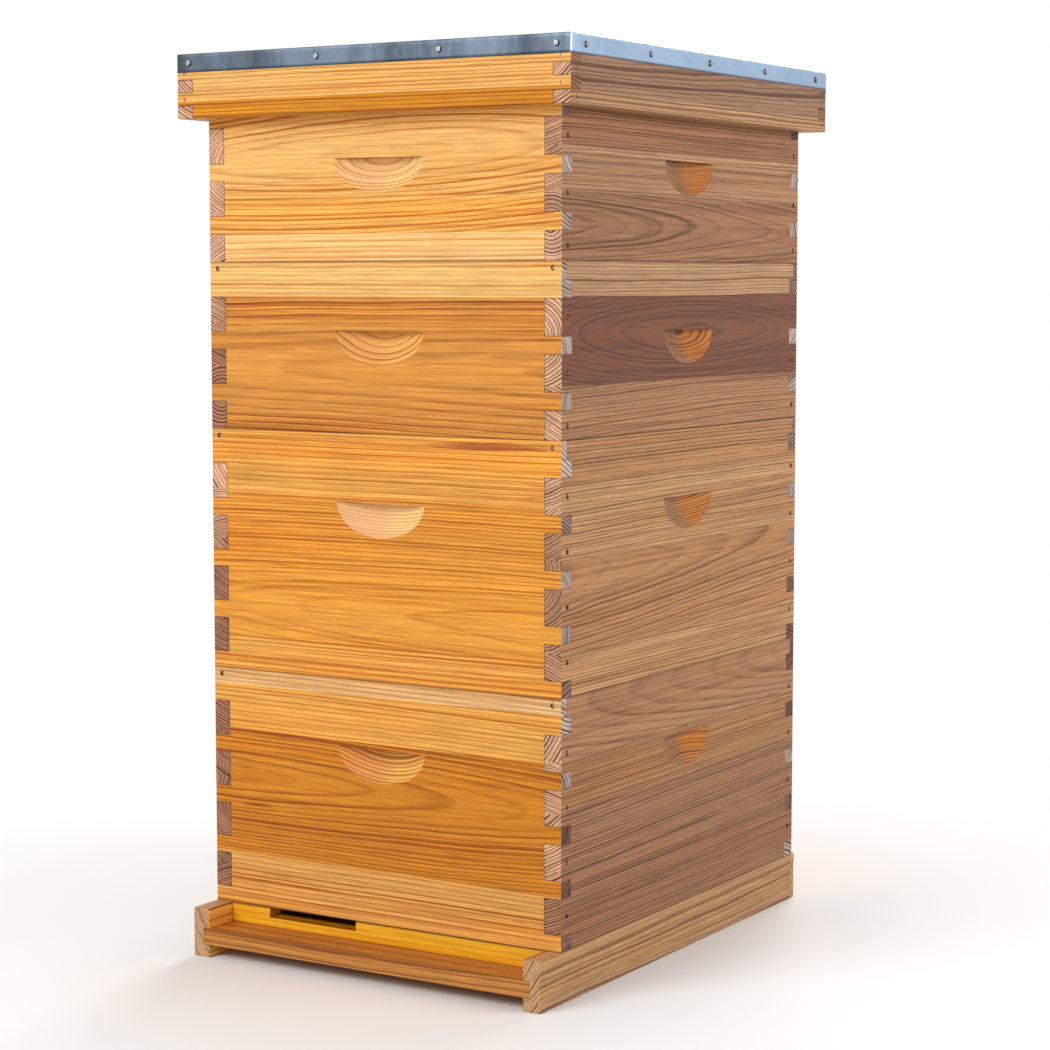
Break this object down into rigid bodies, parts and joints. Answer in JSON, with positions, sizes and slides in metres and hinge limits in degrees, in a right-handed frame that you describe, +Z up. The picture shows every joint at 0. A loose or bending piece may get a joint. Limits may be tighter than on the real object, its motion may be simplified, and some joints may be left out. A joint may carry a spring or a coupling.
{
  "type": "beehive",
  "caption": "Stacked box beehive: finger-jointed deep and medium boxes with hanging frames, on a bottom board with an entrance bar, under a sheet-topped telescoping cover.",
  "frame": {"origin": "on the ground, below the middle of the whole hive's outline", "axes": "+Z up, -Y out of the entrance (the front), +X to the right seen from the front"},
  "size_m": [0.4616, 0.5674, 0.9125],
  "materials": {
    "front_pine": "waxed golden pine",
    "side_pine": "waxed brown pine",
    "base_pine": "waxed brown pine",
    "reducer_pine": "waxed yellow pine",
    "cover_board": "plain board",
    "frame_pine": "plain pine",
    "wax_foundation": "waxed",
    "galvanised_sheet": "galvanised",
    "fastener_steel": "zinc plated"
  },
  "bodies": {
    "bottom_board": {"bottom_board_floor": "base_pine", "bottom_board_left_rail": "base_pine", "bottom_board_nails": "fastener_steel", "bottom_board_rear_rail": "base_pine", "bottom_board_right_rail": "base_pine"},
    "entrance_reducer": {"entrance_reducer": "reducer_pine"},
    "brood_lower": {"brood_lower_back_panel": "front_pine", "brood_lower_foundations": "wax_foundation", "brood_lower_frame_rests": "galvanised_sheet", "brood_lower_frames": "frame_pine", "brood_lower_front_panel": "front_pine", "brood_lower_left_panel": "side_pine", "brood_lower_nails": "fastener_steel", "brood_lower_right_panel": "side_pine"},
    "brood_lower_lift_frame": {"brood_lower_lift_frame_foundation": "wax_foundation", "brood_lower_lift_frame_side_bars": "frame_pine", "brood_lower_lift_frame_top_bar": "frame_pine"},
    "brood_upper": {"brood_upper_back_panel": "front_pine", "brood_upper_foundations": "wax_foundation", "brood_upper_frame_rests": "galvanised_sheet", "brood_upper_frames": "frame_pine", "brood_upper_front_panel": "front_pine", "brood_upper_left_panel": "side_pine", "brood_upper_nails": "fastener_steel", "brood_upper_right_panel": "side_pine"},
    "brood_upper_lift_frame": {"brood_upper_lift_frame_foundation": "wax_foundation", "brood_upper_lift_frame_side_bars": "frame_pine", "brood_upper_lift_frame_top_bar": "frame_pine"},
    "super_lower": {"super_lower_back_panel": "front_pine", "super_lower_foundations": "wax_foundation", "super_lower_frame_rests": "galvanised_sheet", "super_lower_frames": "frame_pine", "super_lower_front_panel": "front_pine", "super_lower_left_panel": "side_pine", "super_lower_nails": "fastener_steel", "super_lower_right_panel": "side_pine"},
    "super_lower_lift_frame": {"super_lower_lift_frame_foundation": "wax_foundation", "super_lower_lift_frame_side_bars": "frame_pine", "super_lower_lift_frame_top_bar": "frame_pine"},
    "super_upper": {"super_upper_back_panel": "front_pine", "super_upper_foundations": "wax_foundation", "super_upper_frame_rests": "galvanised_sheet", "super_upper_frames": "frame_pine", "super_upper_front_panel": "front_pine", "super_upper_left_panel": "side_pine", "super_upper_nails": "fastener_steel", "super_upper_right_panel": "side_pine"},
    "super_upper_lift_frame": {"super_upper_lift_frame_foundation": "wax_foundation", "super_upper_lift_frame_side_bars": "frame_pine", "super_upper_lift_frame_top_bar": "frame_pine"},
    "inner_cover": {"inner_cover_panel": "cover_board", "inner_cover_rim": "cover_board"},
    "outer_cover": {"outer_cover_back_rim": "front_pine", "outer_cover_deck": "cover_board", "outer_cover_front_rim": "front_pine", "outer_cover_left_rim": "side_pine", "outer_cover_nails": "fastener_steel", "outer_cover_right_rim": "side_pine", "outer_cover_screws": "fastener_steel", "outer_cover_sheet": "galvanised_sheet"}
  },
  "joints": [
    {"name": "entrance_reducer_slide", "type": "slide", "parent": "bottom_board", "child": "entrance_reducer", "axis": [0, -1, 0], "range_m": [0, 0.038]},
    {"name": "brood_lower_lift", "type": "slide", "parent": "bottom_board", "child": "brood_lower", "axis": [0, 0, 1], "range_m": [0, 0.1]},
    {"name": "brood_lower_frame_lift", "type": "slide", "parent": "brood_lower", "child": "brood_lower_lift_frame", "axis": [0, 0, 1], "range_m": [0, 0.25]},
    {"name": "brood_upper_lift", "type": "slide", "parent": "brood_lower_lift_frame", "child": "brood_upper", "axis": [0, 0, 1], "range_m": [0, 0.1]},
    {"name": "brood_upper_frame_lift", "type": "slide", "parent": "brood_upper", "child": "brood_upper_lift_frame", "axis": [0, 0, 1], "range_m": [0, 0.25]},
    {"name": "super_lower_lift", "type": "slide", "parent": "brood_upper_lift_frame", "child": "super_lower", "axis": [0, 0, 1], "range_m": [0, 0.1]},
    {"name": "super_lower_frame_lift", "type": "slide", "parent": "super_lower", "child": "super_lower_lift_frame", "axis": [0, 0, 1], "range_m": [0, 0.18]},
    {"name": "super_upper_lift", "type": "slide", "parent": "super_lower_lift_frame", "child": "super_upper", "axis": [0, 0, 1], "range_m": [0, 0.1]},
    {"name": "super_upper_frame_lift", "type": "slide", "parent": "super_upper", "child": "super_upper_lift_frame", "axis": [0, 0, 1], "range_m": [0, 0.18]},
    {"name": "inner_cover_lift", "type": "slide", "parent": "super_upper_lift_frame", "child": "inner_cover", "axis": [0, 0, 1], "range_m": [0, 0.08]},
    {"name": "outer_cover_lift", "type": "slide", "parent": "inner_cover", "child": "outer_cover", "axis": [0, 0, 1], "range_m": [0, 0.12]}
  ]
}
